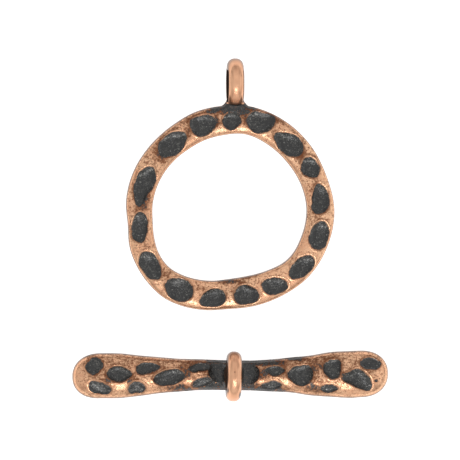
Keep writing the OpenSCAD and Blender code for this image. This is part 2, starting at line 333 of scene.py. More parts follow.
# Points of a united mesh with its seam softened into a small fillet: every point near the seam is
# moved again and again towards the middle of its neighbours, most at the seam itself
def softened(mesh):
    points = readItems(mesh.vertices, "co", 3) / mm
    count = len(points)
    corner = readItems(mesh.loops, "vertex_index", 1, int)[:, 0]
    corners = readItems(mesh.polygons, "loop_total", 1, int)[:, 0]
    body = np.repeat(readItems(mesh.polygons, "material_index", 1, int)[:, 0], corners)
    onPiece, onEye = (np.bincount(corner[body == k], minlength=count) > 0 for k in (0, 1))
    seam = points[onPiece & onEye]

    reach = eyeSizes["filletReach"]
    low = seam.min(axis=0) - reach
    high = seam.max(axis=0) + reach
    near = np.flatnonzero(((points > low) & (points < high)).all(axis=1))
    away = points[near][:, None, :] - seam[None, :, :]
    gap = np.sqrt((away ** 2).sum(axis=-1)).min(axis=1)
    pull = np.zeros(count)
    pull[near] = eyeSizes["filletPull"] * np.clip(1 - gap / reach, 0, 1) ** 0.5

    edges = readItems(mesh.edges, "vertices", 2, int)
    edges = edges[(pull[edges] > 0).any(axis=1)]
    start = np.concatenate([edges[:, 0], edges[:, 1]])
    end = np.concatenate([edges[:, 1], edges[:, 0]])
    neighbours = np.maximum(np.bincount(start, minlength=count), 1)[:, None]
    for _ in range(eyeSizes["filletPasses"]):
        sums = [np.bincount(start, points[end, k], minlength=count) for k in range(3)]
        points += pull[:, None] * (np.stack(sums, axis=-1) / neighbours - points)
    return points


# Makes one body of a piece and its eye, and gives its points
def joinEye(piece, eyeAt):
    eye = makePiece("eye", eyeAt, gridFaces(eyeSizes["around"], eyeSizes["section"], True))
    joined = unite(piece, eye)
    points = softened(joined)
    for body in list(joined.materials):
        bpy.data.materials.remove(body)
    joined.materials.clear()
    joined.polygons.foreach_set("material_index", np.zeros(len(joined.polygons), int))
    joined.polygons.foreach_set("use_smooth", np.ones(len(joined.polygons), bool))
    setPoints(piece, points)
    return points


# Which points are an eye's: between its sides, within its circle and clear of its foot
def withinEye(fromEye, eye, clear):
    beside = np.abs(fromEye[:, 0]) - eye["width"] / 2
    outside = np.hypot(fromEye[:, 1], fromEye[:, 2]) - eye["outer"] / 2
    return (beside < eye["sideSkin"]) & (outside < eyeSizes["outerSkin"]) & clear


# Patches: the largest of each row's strength times e to the power of minus the squared distance,
# which is counted in the row's reaches
def stained(along, across, rows, unit):
    rows = np.array(rows, float)[:, :, None]
    alongShare = along / (rows[:, stainAlongColumn] * unit)
    acrossShare = across / (rows[:, stainAcrossColumn] * unit)
    return (rows[:, strengthColumn] * np.exp(-(alongShare ** 2 + acrossShare ** 2))).max(axis=0)


# Writes a value for each point of a piece, for its material to read
def writeAttribute(piece, name, values):
    attribute = piece.data.attributes.new(name, "FLOAT", "POINT")
    attribute.data.foreach_set("value", np.asarray(values, np.float32))


# Writes the distance to the nearest mark's rim, which is the limit wherever no marked face is,
# and the grime. Neither goes onto the eye
def writePatina(piece, rim, grime, onFace, inEye):
    limit = surface["rimLimit"]
    onFace = np.where(inEye, 0, onFace)
    writeAttribute(piece, "rim", np.clip(rim, -limit, limit) * onFace + limit * (1 - onFace))
    writeAttribute(piece, "grime", np.where(inEye, 0, grime))
    writeAttribute(piece, "onEye", inEye)


# Writes how the surface leans. The first value is 1 where it faces the bottom of the picture,
# towards the key light, and the finish paints highlights, glints and sheen by it; steep is 0 where
# it faces up and 1 at a wall. The eye's dark sides, partly a painted dark reflection, and its
# spots, among them a painted shadow at the ring eye's foot, are kept apart
def writeLeans(piece, inEye, fromEye, eye, spots):
    normals = readItems(piece.data.vertices, "normal", 3)
    writeAttribute(piece, "keyFacing", ramp(-normals[:, 1], surface["keyFacingFrom"], surface["keyFacingSpan"]))
    normals = np.abs(normals)
    sideways = ramp(normals[:, 0], surface["sidewaysFrom"], surface["sidewaysSpan"])
    shown = eye["sideDark"] * ramp(eye["sideFrom"] - fromEye[:, 1], 0, surface["darkSideFade"])
    holeEdge = eye["hole"] / 2 + eyeSizes["holeRound"] / 2
    inHole = np.hypot(fromEye[:, 1], fromEye[:, 2]) < holeEdge
    rows = np.array(spots)
    right = fromEye[:, 0] - rows[:, placeColumn, None]
    up = fromEye[:, 1] - rows[:, offsetColumn, None]
    spot = stained(right, up, rows, 1)
    writeAttribute(piece, "eyeSide", np.maximum(sideways * shown, inHole) * inEye)
    writeAttribute(piece, "eyeSpot", spot * inEye * (fromEye[:, 2] > 0))
    writeAttribute(piece, "steep", 1 - ramp(normals[:, 2], 0, surface["flatFrom"]))


# The hammered ring, in millimetres. Angles are in degrees, from the right and counterclockwise
ringSizes = {
    "width": 23.0,
    "bandWidth": 3.1,
    "bandThickness": 2.2,
    "bandSquare": 3.6,  # roundness of the section: 2 is an ellipse, more is squarer
    "markDepth": 0.45,
    "faceFrom": -0.3,  # height of the marked face's lower edge, from the band's middle
    "rubbed": 0.12,  # how much of the patina is rubbed away
    "stations": 780,  # points along the band
    "around": 104,  # points round its section
    "pitchTries": 4,  # corrections of the slant that lets the ring rest on its eye
}

# Outline of the ring: angle, outer radius as a share of half the ring's width,
# and width of the band as a share of the band's named width
outerColumn = 1
bandColumn = 2
ringOutline = [
    [0, 0.990, 1.00],
    [20, 0.971, 0.97],
    [40, 0.983, 1.04],
    [60, 1.000, 1.05],
    [80, 1.013, 1.01],
    [97, 1.006, 1.04],
    [110, 1.007, 1.06],
    [125, 0.995, 1.03],
    [140, 0.999, 1.00],
    [160, 1.014, 0.99],
    [175, 1.016, 0.96],
    [188, 1.005, 0.90],
    [200, 1.040, 0.94],
    [210, 1.055, 0.92],
    [222, 1.063, 0.94],
    [232, 1.062, 1.04],
    [242, 1.037, 1.08],
    [255, 0.993, 1.08],
    [268, 0.951, 1.07],
    [282, 0.947, 1.10],
    [300, 0.956, 1.05],
    [320, 0.981, 0.97],
    [340, 0.988, 1.00],
]

# Hammer marks of the ring: angle, then shares of the band's width: offset outwards, share of the
# full depth, and the reach from the mark's centre in eight directions, the first along the ring
# and the third outwards
ringMarks = [
    [7.3, 0.01, 0.9, 0.59, 0.42, 0.32, 0.39, 0.51, 0.47, 0.30, 0.35],
    [28.6, 0.06, 0.9, 0.42, 0.38, 0.33, 0.35, 0.37, 0.31, 0.34, 0.35],
    [49.4, 0.01, 1.0, 0.65, 0.38, 0.37, 0.45, 0.56, 0.47, 0.41, 0.49],
    [72.2, 0.07, 1.0, 0.51, 0.46, 0.37, 0.51, 0.46, 0.39, 0.40, 0.46],
    [90.3, -0.03, 0.8, 0.35, 0.32, 0.30, 0.34, 0.34, 0.30, 0.33, 0.34],
    [108.4, 0.02, 0.9, 0.47, 0.47, 0.36, 0.41, 0.49, 0.39, 0.39, 0.46],
    [131.7, -0.01, 1.0, 0.60, 0.50, 0.40, 0.46, 0.62, 0.43, 0.39, 0.44],
    [162.8, -0.01, 1.0, 0.83, 0.45, 0.35, 0.45, 0.69, 0.48, 0.35, 0.36],
    [191.2, 0.04, 0.9, 0.47, 0.41, 0.30, 0.35, 0.61, 0.46, 0.28, 0.30],
    [214.6, 0.04, 0.9, 0.52, 0.40, 0.30, 0.43, 0.60, 0.49, 0.36, 0.38],
    [236.6, 0.01, 1.0, 0.50, 0.42, 0.40, 0.46, 0.57, 0.46, 0.45, 0.49],
    [258.3, 0.07, 0.9, 0.42, 0.34, 0.32, 0.49, 0.42, 0.34, 0.37, 0.45],
    [280.0, 0.07, 0.9, 0.44, 0.43, 0.34, 0.41, 0.45, 0.43, 0.37, 0.36],
    [299.6, 0.07, 0.8, 0.43, 0.46, 0.31, 0.31, 0.40, 0.47, 0.35, 0.33],
    [321.0, 0.05, 0.9, 0.53, 0.46, 0.30, 0.34, 0.52, 0.43, 0.33, 0.38],
    [344.5, 0.06, 0.9, 0.52, 0.42, 0.34, 0.46, 0.51, 0.42, 0.35, 0.41],
]

# Patina outside the ring's marks: angle, offset outwards as a share of the band's width,
# reach along and across as shares of the band's width, and strength
ringStains = [
    [88, 0.40, 0.62, 0.28, 1.50],
    [88.2, 0.72, 0.70, 0.32, 1.80],
    [110, 0.40, 1.30, 0.14, 0.60],
    [66, 0.42, 1.10, 0.12, 0.58],
    [79, 0.46, 0.24, 0.12, 1.10],
    [99, 0.42, 0.42, 0.14, 1.15],
    [81.5, 0.08, 0.12, 0.35, 0.80],
    [99.5, 0.10, 0.12, 0.35, 0.75],
    [174, -0.16, 0.45, 0.26, 0.88],
    [119, 0.02, 0.18, 0.34, 0.62],
    [61, 0.02, 0.16, 0.32, 0.58],
    [179, 0.02, 0.18, 0.28, 0.55],
    [143, 0.00, 0.32, 0.42, 0.64],
    [137, 0.36, 0.45, 0.14, 0.55],
    [17, -0.04, 0.28, 0.30, 0.70],
    [357, -0.14, 0.28, 0.28, 0.55],
    [203, 0.00, 0.18, 0.28, 0.48],
    [224, -0.22, 0.25, 0.22, 0.55],
    [248, -0.24, 0.30, 0.20, 0.55],
    [270, -0.20, 0.30, 0.20, 0.40],
    [264, -0.50, 1.10, 0.13, 0.78],
    [287, -0.52, 0.60, 0.09, 0.60],
    [38, 0.05, 0.16, 0.28, 0.52],
]

# Places of the ring rubbed clean, in the same columns
ringRubs = [
    [12, 0.10, 2.20, 0.60, 0.22],
    [338, 0.10, 2.40, 0.60, 0.26],
    [310, 0.15, 1.60, 0.50, 0.15],
    [60, -0.10, 0.80, 0.40, 0.10],
]

# The eye that stands at the top of the ring, in millimetres and degrees
ringEye = {
    "outer": 5.4,
    "hole": 2.4,
    "width": 1.8,
    "sink": 0.25,  # how far it sinks into the band
    "shift": 0.36,  # how far it stands to the right of the ring's middle
    "outerRound": 0.8,
    "turn": 0,
    "sideSkin": 0.05,  # how far beside the eye a point still counts as its own
    "footHeight": 0.4,  # height of its foot, which has the ring's patina
    # dark flat sides of the eye: patina, and partly a painted dark reflection
    "sideDark": 1.0,
    "sideFrom": 1.7,  # how far towards the top of the picture the dark side reaches from the middle
}

# Spots on the ring's eye, in millimetres: place to the right of its middle and up the picture,
# reach along both, and strength. The first, where the eye meets the band, is a painted shadow
ringEyeSpots = [
    [0.05, -2.15, 0.55, 0.16, 0.20],
    [-0.10, 1.70, 0.20, 0.35, 0.30],
    [0.55, 0.90, 0.06, 0.10, 0.55],
]


# The outline with its last row before the first and its first two rows after the last, so that
# the curve through the rows closes
def wrappedOutline():
    last = [ringOutline[-1][placeColumn] - 360] + ringOutline[-1][1:]
    first = [[row[placeColumn] + 360] + row[1:] for row in ringOutline[:2]]
    return [last] + ringOutline + first


# Outer radius of the ring: half its width times the share that the outline's curve has there
def ringOuter(angle):
    return ringSizes["width"] / 2 * betweenRows(wrappedOutline(), angle, outerColumn)


# Width of the band: the named width times the share that the outline's curve has there
def bandWidth(angle):
    return ringSizes["bandWidth"] * betweenRows(wrappedOutline(), angle, bandColumn)


# Radius of the band's middle line: the outer radius less half the band
def bandMiddle(angle):
    return ringOuter(angle) - bandWidth(angle) / 2


# Places seen from each of the ring's marks or stains: along is the arc to it at the band's middle,
# and across is how much further out it lies
def fromRingRows(rows, angle, radius):
    rows = np.array(rows, float)
    place = rows[:, placeColumn, None]
    turn = np.mod(angle[None, :] - place + 540, 360) - 180
    middle = bandMiddle(place)
    along = np.radians(turn) * middle
    across = radius[None, :] - middle - rows[:, offsetColumn, None] * ringSizes["bandWidth"]
    return along, across


# Point of the ring's band: its section is a rounded rectangle carried round the outline, lowered
# by the hammer marks and raised and widened by the eye's foot
def bandPoints(angle, turn, eyeAngle):
    across, upwards = rounded(turn, ringSizes["bandSquare"])
    besideEye = np.radians(np.abs(angle - eyeAngle)) * ringSizes["width"] / 2
    spread = foot(besideEye, ringEye["width"]) * np.maximum(across, 0) ** 2
    radius = bandMiddle(angle) + bandWidth(angle) / 2 * across + spread
    points = np.stack([
        radius * np.cos(np.radians(angle)),
        radius * np.sin(np.radians(angle)),
        ringSizes["bandThickness"] / 2 * upwards,
    ], axis=-1)
    unit = ringSizes["bandWidth"]
    bowl, rim = hammered(ringMarks, *fromRingRows(ringMarks, angle, radius), unit)
    points[:, 2] += worked(points, upwards, bowl, rim, ringSizes["markDepth"], handwork["seed"])
    return points


# Slant of the ring, which turns up on its eye until the eye and its far rim both touch the floor
def settledPitch(points, eyeY):
    reach = -points[:, 1].min()
    pitch = 0.0
    for _ in range(ringSizes["pitchTries"]):
        low = (points[:, 1] * math.sin(pitch) + points[:, 2] * math.cos(pitch)).min()
        rise = ringEye["outer"] / 2 + low + reach * math.sin(pitch)
        pitch = math.asin(rise / (eyeY + reach))
    return pitch


# Writes what the finish reads of the ring, from its points before it is slanted
def ageRing(ring, points, eyeCentre):
    angle = np.mod(np.degrees(np.arctan2(points[:, 1], points[:, 0])), 360)
    radius = np.hypot(points[:, 0], points[:, 1])
    unit = ringSizes["bandWidth"]
    _, rim = hammered(ringMarks, *fromRingRows(ringMarks, angle, radius), unit)
    stains, rubs = (
        stained(*fromRingRows(rows, angle, radius), rows, unit) for rows in (ringStains, ringRubs)
    )
    onFace = ramp(points[:, 2], ringSizes["faceFrom"], surface["faceFade"])
    grime = (stains - rubs - ringSizes["rubbed"]) * onFace
    fromEye = points - eyeCentre
    clear = points[:, 1] > eyeCentre[1] + ringEye["footHeight"] - ringEye["outer"] / 2
    inEye = withinEye(fromEye, ringEye, clear)
    writePatina(ring, rim, grime, onFace, inEye)
    writeLeans(ring, inEye, fromEye, ringEye, ringEyeSpots)


# The ring: the band on a grid, its eye joined to it, and the whole slanted and put where the
# solid is
def makeRing():
    eyeAngle = 90 - math.degrees(math.asin(ringEye["shift"] / (ringSizes["width"] / 2)))
    eyeFoot = float(ringOuter(np.array([eyeAngle]))[0]) * math.sin(math.radians(eyeAngle))
    eyeCentre = [ringEye["shift"], eyeFoot + ringEye["outer"] / 2 - ringEye["sink"], 0]
    stations = np.arange(ringSizes["stations"]) * 360 / ringSizes["stations"]
    turns = evenTurns(
        ringSizes["around"],
        ringSizes["bandWidth"] / 2,
        ringSizes["bandThickness"] / 2,
        ringSizes["bandSquare"],
        ringSizes["bandSquare"],
    )
    angle = np.repeat(stations, len(turns))
    turn = np.tile(turns, len(stations))
    points = bandPoints(angle, turn, eyeAngle)
    pitch = settledPitch(points, eyeCentre[1])
    ring = makePiece("ring", points, gridFaces(len(stations), len(turns), True))
    points = joinEye(ring, eyePoints(ringEye) + eyeCentre)
    ageRing(ring, points, eyeCentre)

    slant = np.array([
        [1, 0, 0],
        [0, math.cos(pitch), -math.sin(pitch)],
        [0, math.sin(pitch), math.cos(pitch)],
    ])
    points = points @ slant.T
    low, high = (np.array(corner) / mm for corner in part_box("toggle_ring"))
    points += [
        low[0] - points[:, 0].min(),
        high[1] - points[:, 1].max(),
        low[2] - points[:, 2].min(),
    ]
    setPoints(ring, points)
    return ring


# The hammered bar, lying on its back, in millimetres
barSizes = {
    "length": 34.9,
    "endWidth": 5.2,
    "neckWidth": 3.3,
    "endThickness": 3.2,
    "neckThickness": 2.8,
    "faceSquare": 2.3,  # roundness of the face, of the back and of the ends seen from above
    "backSquare": 4,
    "tipSquare": 2.2,
    "tipShare": 0.58,  # length of the rounded end, as a share of the end's width
    "markDepth": 0.45,
    "faceFrom": 1.2,  # height of the marked face's lower edge
    "stainFade": 0.6,  # height over which the stains begin
    "rubbed": -0.18,  # below 0 the bar has more patina than its stains give
    "stations": 430,  # points along the straight part, then along each tip
    "tipStations": 26,
    "around": 156,
}

# Outline of the bar: place along it as a share of its length, sideways drift as a share of the
# end's width, and swell from 0 at the neck's size to 1 at the end's size
driftColumn = 1
swellColumn = 2
barOutline = [
    [-0.500, -0.02, 0.88],
    [-0.412, 0.00, 0.88],
    [-0.349, 0.00, 0.86],
    [-0.285, 0.00, 0.61],
    [-0.222, 0.01, 0.36],
    [-0.159, 0.01, 0.17],
    [-0.095, 0.02, 0.06],
    [-0.032, 0.01, 0.00],
    [0.063, 0.00, 0.00],
    [0.127, 0.00, 0.12],
    [0.190, 0.01, 0.30],
    [0.254, 0.00, 0.59],
    [0.317, 0.02, 0.87],
    [0.381, 0.02, 1.00],
    [0.412, 0.03, 0.98],
    [0.500, 0.04, 0.98],
]

# Hammer marks of the bar: place along it as a share of its length, and the ring's other columns
# as shares of the end's width
barMarks = [
    [-0.432, 0.21, 0.8, 0.19, 0.19, 0.18, 0.16, 0.19, 0.18, 0.18, 0.15],
    [-0.418, -0.25, 0.8, 0.27, 0.15, 0.14, 0.22, 0.21, 0.15, 0.12, 0.21],
    [-0.354, 0.05, 1.0, 0.29, 0.19, 0.17, 0.21, 0.27, 0.20, 0.18, 0.19],
    [-0.298, -0.24, 0.8, 0.20, 0.15, 0.13, 0.15, 0.18, 0.19, 0.12, 0.17],
    [-0.264, 0.17, 0.8, 0.26, 0.17, 0.13, 0.17, 0.24, 0.20, 0.12, 0.13],
    [-0.197, -0.03, 1.0, 0.34, 0.26, 0.17, 0.19, 0.32, 0.25, 0.17, 0.20],
    [-0.099, 0.18, 0.6, 0.22, 0.12, 0.10, 0.12, 0.21, 0.15, 0.08, 0.11],
    [-0.093, -0.14, 0.6, 0.21, 0.18, 0.11, 0.12, 0.19, 0.17, 0.09, 0.10],
    [-0.044, 0.08, 0.5, 0.19, 0.21, 0.19, 0.21, 0.18, 0.19, 0.20, 0.23],
    [0.061, 0.04, 0.5, 0.19, 0.20, 0.20, 0.22, 0.18, 0.23, 0.22, 0.19],
    [0.138, 0.11, 0.6, 0.22, 0.14, 0.10, 0.13, 0.22, 0.12, 0.12, 0.13],
    [0.130, -0.19, 0.6, 0.22, 0.12, 0.10, 0.10, 0.24, 0.13, 0.09, 0.12],
    [0.219, 0.01, 1.0, 0.27, 0.29, 0.22, 0.24, 0.27, 0.21, 0.23, 0.24],
    [0.319, 0.14, 0.9, 0.19, 0.24, 0.21, 0.20, 0.19, 0.18, 0.21, 0.21],
    [0.310, -0.27, 0.7, 0.20, 0.12, 0.09, 0.12, 0.20, 0.12, 0.09, 0.11],
    [0.403, -0.08, 1.0, 0.27, 0.21, 0.24, 0.26, 0.34, 0.18, 0.19, 0.34],
    [0.442, 0.26, 0.8, 0.23, 0.15, 0.14, 0.17, 0.23, 0.16, 0.12, 0.17],
]

# Patina outside the bar's marks: place along it as a share of its length, then offset, reach
# along and reach across as shares of the end's width, and strength
barStains = [
    [-0.024, 0.00, 0.30, 0.60, 0.98],
    [-0.046, 0.29, 0.24, 0.08, 0.95],
    [-0.075, 0.20, 0.28, 0.12, 0.74],
    [-0.060, -0.24, 0.28, 0.12, 1.05],
    [0.038, 0.00, 0.26, 0.60, 1.02],
    [0.105, -0.30, 0.45, 0.08, 1.00],
    [0.095, 0.28, 0.53, 0.07, 1.10],
    [0.205, 0.36, 0.24, 0.05, 0.85],
    [0.365, -0.02, 0.10, 0.10, 0.90],
    [0.260, -0.22, 0.25, 0.16, 0.44],
    [0.270, 0.20, 0.22, 0.14, 0.42],
    [0.100, 0.04, 0.16, 0.16, 0.50],
    [-0.150, -0.28, 0.40, 0.16, 0.55],
    [-0.140, 0.10, 0.22, 0.22, 0.50],
    [-0.330, -0.08, 0.22, 0.10, 0.45],
    [-0.400, 0.33, 0.70, 0.16, 0.17],
    [-0.388, -0.10, 0.16, 0.14, 0.40],
    [0.459, -0.11, 0.03, 0.03, 1.60],
]

# Places of the bar rubbed clean, in the same columns
barRubs = [
    [-0.500, 0.00, 0.22, 0.60, 0.55],
    [0.500, 0.00, 0.24, 0.60, 0.38],
    [0.450, -0.40, 0.50, 0.20, 0.20],
]

# The eye that stands on the middle of the bar, in millimetres and degrees
barEye = {
    "outer": 5.5,
    "hole": 2.4,
    "width": 1.6,
    "sink": 0.4,
    "shift": 0.16,
    "outerRound": 0.7,
    "turn": 1.3,  # degrees clockwise from square across the bar
    "sideSkin": 0.08,
    "footHeight": 0.3,
    # dark flat sides of the eye: patina, and partly a painted dark reflection
    "sideDark": 0.35,
    "sideFrom": 3,
}

# Spots on the bar's eye, in the same columns
barEyeSpots = [
    [0.64, -2.05, 0.15, 0.40, 1.40],
    [-0.02, 0.55, 0.07, 0.10, 1.10],
    [0.05, 2.35, 0.22, 0.20, 0.25],
    [0.00, 0.20, 0.12, 0.90, 0.28],
    [0.02, -2.15, 0.55, 0.50, 0.24],
    [-0.72, -1.50, 0.10, 0.35, 1.00],
]


# Places seen from each of the bar's marks or stains
def fromBarRows(rows, x, y):
    rows = np.array(rows, float)
    along = x[None, :] - rows[:, placeColumn, None] * barSizes["length"]
    across = y[None, :] - rows[:, offsetColumn, None] * barSizes["endWidth"]
    return along, across


# Point of the bar: its section is a rounded rectangle carried along the outline, which shrinks
# to nothing at the tips, lowered by the hammer marks and raised by the eye's foot
def barPoints(x, turn):
    sizes = barSizes
    share = x / sizes["length"]
    swell = np.clip(betweenRows(barOutline, share, swellColumn), 0, 1)
    halfWidth = (sizes["neckWidth"] + (sizes["endWidth"] - sizes["neckWidth"]) * swell) / 2
    thickness = sizes["neckThickness"] + (sizes["endThickness"] - sizes["neckThickness"]) * swell
    tip = sizes["tipShare"] * sizes["endWidth"]
    into = np.clip((np.abs(x) - sizes["length"] / 2 + tip) / tip, 0, 1)
    cap = (1 - into ** sizes["tipSquare"]) ** (1 / sizes["tipSquare"])
    square = np.where(turn > math.pi, sizes["backSquare"], sizes["faceSquare"])
    across, upwards = rounded(turn, square)
    y = sizes["endWidth"] * betweenRows(barOutline, share, driftColumn) - halfWidth * cap * across
    rise = foot(np.abs(x - barEye["shift"]), barEye["width"]) * np.clip(upwards, 0, 1)
    points = np.stack([x, y, thickness / 2 * (1 + cap * upwards) + rise], axis=-1)
    bowl, rim = hammered(barMarks, *fromBarRows(barMarks, x, y), sizes["endWidth"])
    points[:, 2] += worked(
        points, upwards, bowl, rim, sizes["markDepth"], handwork["seed"] + 1, cap
    )
    return points


# Writes what the finish reads of the bar
def ageBar(bar, points, eyeCentre):
    x, y, z = points.T
    unit = barSizes["endWidth"]
    _, rim = hammered(barMarks, *fromBarRows(barMarks, x, y), unit)
    stains, rubs = (
        stained(*fromBarRows(rows, x, y), rows, unit) for rows in (barStains, barRubs)
    )
    grime = (stains - rubs - barSizes["rubbed"]) * ramp(z, 0, barSizes["stainFade"])
    onFace = ramp(z, barSizes["faceFrom"], surface["faceFade"])
    fromEye = points - eyeCentre
    inEye = withinEye(fromEye, barEye, z > barSizes["neckThickness"] + barEye["footHeight"])
    writePatina(bar, rim, grime, onFace, inEye)
    writeLeans(bar, inEye, fromEye, barEye, barEyeSpots)


# The bar: a grid from tip to tip with its eye joined to it, put where the solid is
def makeBar():
    sizes = barSizes
    tip = sizes["tipShare"] * sizes["endWidth"]
    quarter = np.arange(1, sizes["tipStations"] + 1) * math.pi / 2 / (sizes["tipStations"] + 1)
    leftEnd = -sizes["length"] / 2 + tip * (1 - np.cos(quarter))
    straight = np.linspace(leftEnd[-1], -leftEnd[-1], sizes["stations"])[1:-1]
    places = np.concatenate([leftEnd, straight, -leftEnd[::-1]])
    turns = evenTurns(
        sizes["around"],
        sizes["endWidth"] / 2,
        sizes["endThickness"] / 2,
        sizes["faceSquare"],
        sizes["backSquare"],
    )
    around = len(turns)
    points = barPoints(np.repeat(places, around), np.tile(turns, len(places)))
    ends = np.array([-sizes["length"] / 2, sizes["length"] / 2])
    points = np.concatenate([points, barPoints(ends, np.zeros(2))])

    # each tip is one point, which a fan of triangles joins to the section next to it
    column = np.arange(around)
    nextColumn = (column + 1) % around
    last = (len(places) - 1) * around
    leftTip = np.full(around, len(points) - 2)
    rightTip = np.full(around, len(points) - 1)
    fans = np.concatenate([
        np.stack([leftTip, nextColumn, column], axis=-1),
        np.stack([rightTip, last + column, last + nextColumn], axis=-1),
    ])
    bar = makePiece("bar", points, gridFaces(len(places), around, False), fans)
    eyeZ = sizes["neckThickness"] + barEye["outer"] / 2 - barEye["sink"]
    eyeCentre = [barEye["shift"], 0, eyeZ]
    points = joinEye(bar, eyePoints(barEye) + eyeCentre)
    ageBar(bar, points, eyeCentre)

    low, _ = (np.array(corner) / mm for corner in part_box("toggle_bar"))
    points += [0, low[1] - points[:, 1].min(), low[2] - points[:, 2].min()]
    setPoints(bar, points)
    return bar


# A socket that can stand in sums: each operator adds its Math node
class Wire:
    def __init__(self, tree, socket=None):
        self.tree = tree
        self.socket = socket

    # any node, from its type, its settings, the values or wires of its sockets and the one it gives
    def make(self, kind, settings, values, out=0):
        node = self.tree.nodes.new(kind)
        for name, value in settings.items():
            setattr(node, name, value)
        for name, value in values.items():
            if isinstance(value, Wire):
                self.tree.links.new(value.socket, node.inputs[name])
            else:
                node.inputs[name].default_value = value
        return Wire(self.tree, node.outputs[out])

    def maths(self, operation, *values):
        return self.make("ShaderNodeMath", {"operation": operation}, dict(enumerate(values)))

    def __add__(self, other):
        return self.maths("ADD", self, other)

    def __radd__(self, other):
        return self.maths("ADD", other, self)

    def __sub__(self, other):
        return self.maths("SUBTRACT", self, other)

    def __rsub__(self, other):
        return self.maths("SUBTRACT", other, self)

    def __mul__(self, other):
        return self.maths("MULTIPLY", self, other)

    def __rmul__(self, other):
        return self.maths("MULTIPLY", other, self)

    def larger(self, other):
        return self.maths("MAXIMUM", self, other)

    # smooth rise from 0 at low to 1 at high
    def step(self, low, high):
        settings = {"interpolation_type": "SMOOTHSTEP"}
        values = {"Value": self, "From Min": low, "From Max": high}
        return self.make("ShaderNodeMapRange", settings, values)

    # colour between two others, by a mask from 0 to 1
    def blend(self, low, high):
        values = {0: self, 6: low, 7: high}
        return self.make("ShaderNodeMix", {"data_type": "RGBA"}, values, 2)


# Linear colour with full alpha, from the 0 to 255 values of a screen
def shade(red, green, blue):
    return tuple(((value / 255 + 0.055) / 1.055) ** 2.4 for value in (red, green, blue)) + (1,)


# Antiqued copper finish. Lengths are in millimetres
copperFinish = {
    "light": shade(252, 204, 165),
    "mid": shade(231, 175, 138),
    "rose": shade(206, 140, 112),
    "brown": shade(112, 65, 40),
    # umber and the matte grime darken steep walls and the eyes' sides: partly patina, partly
    # painted shade
    "umber": shade(58, 42, 34),
    "grime": shade(46, 38, 34),
    "charcoal": shade(4, 4, 3),
    "ash": shade(78, 77, 72),
    # light grey of the painted glints and the painted sheen in the marks
    "paintedSheenGrey": shade(165, 163, 158),
    "cloud": 2.2,  # sizes of the grains that colour the surface
    "patch": 0.6,
    "speck": 0.26,
    "fine": 0.15,
    "streak": 0.22,  # width of the polishing lines round the eyes
    "streakStretch": 0.08,
    "roseSpecks": 0.75,  # strengths of what lies over the plain copper
    "glints": 0.7,
    "roseEyes": 0.28,
    "brownStains": 0.6,
    "brownPepper": 0.72,
    "brownFringes": 0.6,
    "brownSmudges": 0.85,
    "brownStreaks": 0.16,
    # umber on walls and their matte share below: partly patina, partly painted shade
    "umberWalls": 0.92,
    "rubbedMarks": 0.7,  # copper that shows through the patina in the marks and in the stains
    "rubbedStains": 0.85,
    "roughness": 0.25,
    "patinaGloss": 1.64,  # refractive index of the dark patina
    "matteWallShade": 0.9,
    "bumpHeight": 0.005,
    "speckBump": 0.42,  # shares of that height
    "fineBump": 0.22,
    "patinaBump": 3.8,
    "streakBump": 0.35,
}


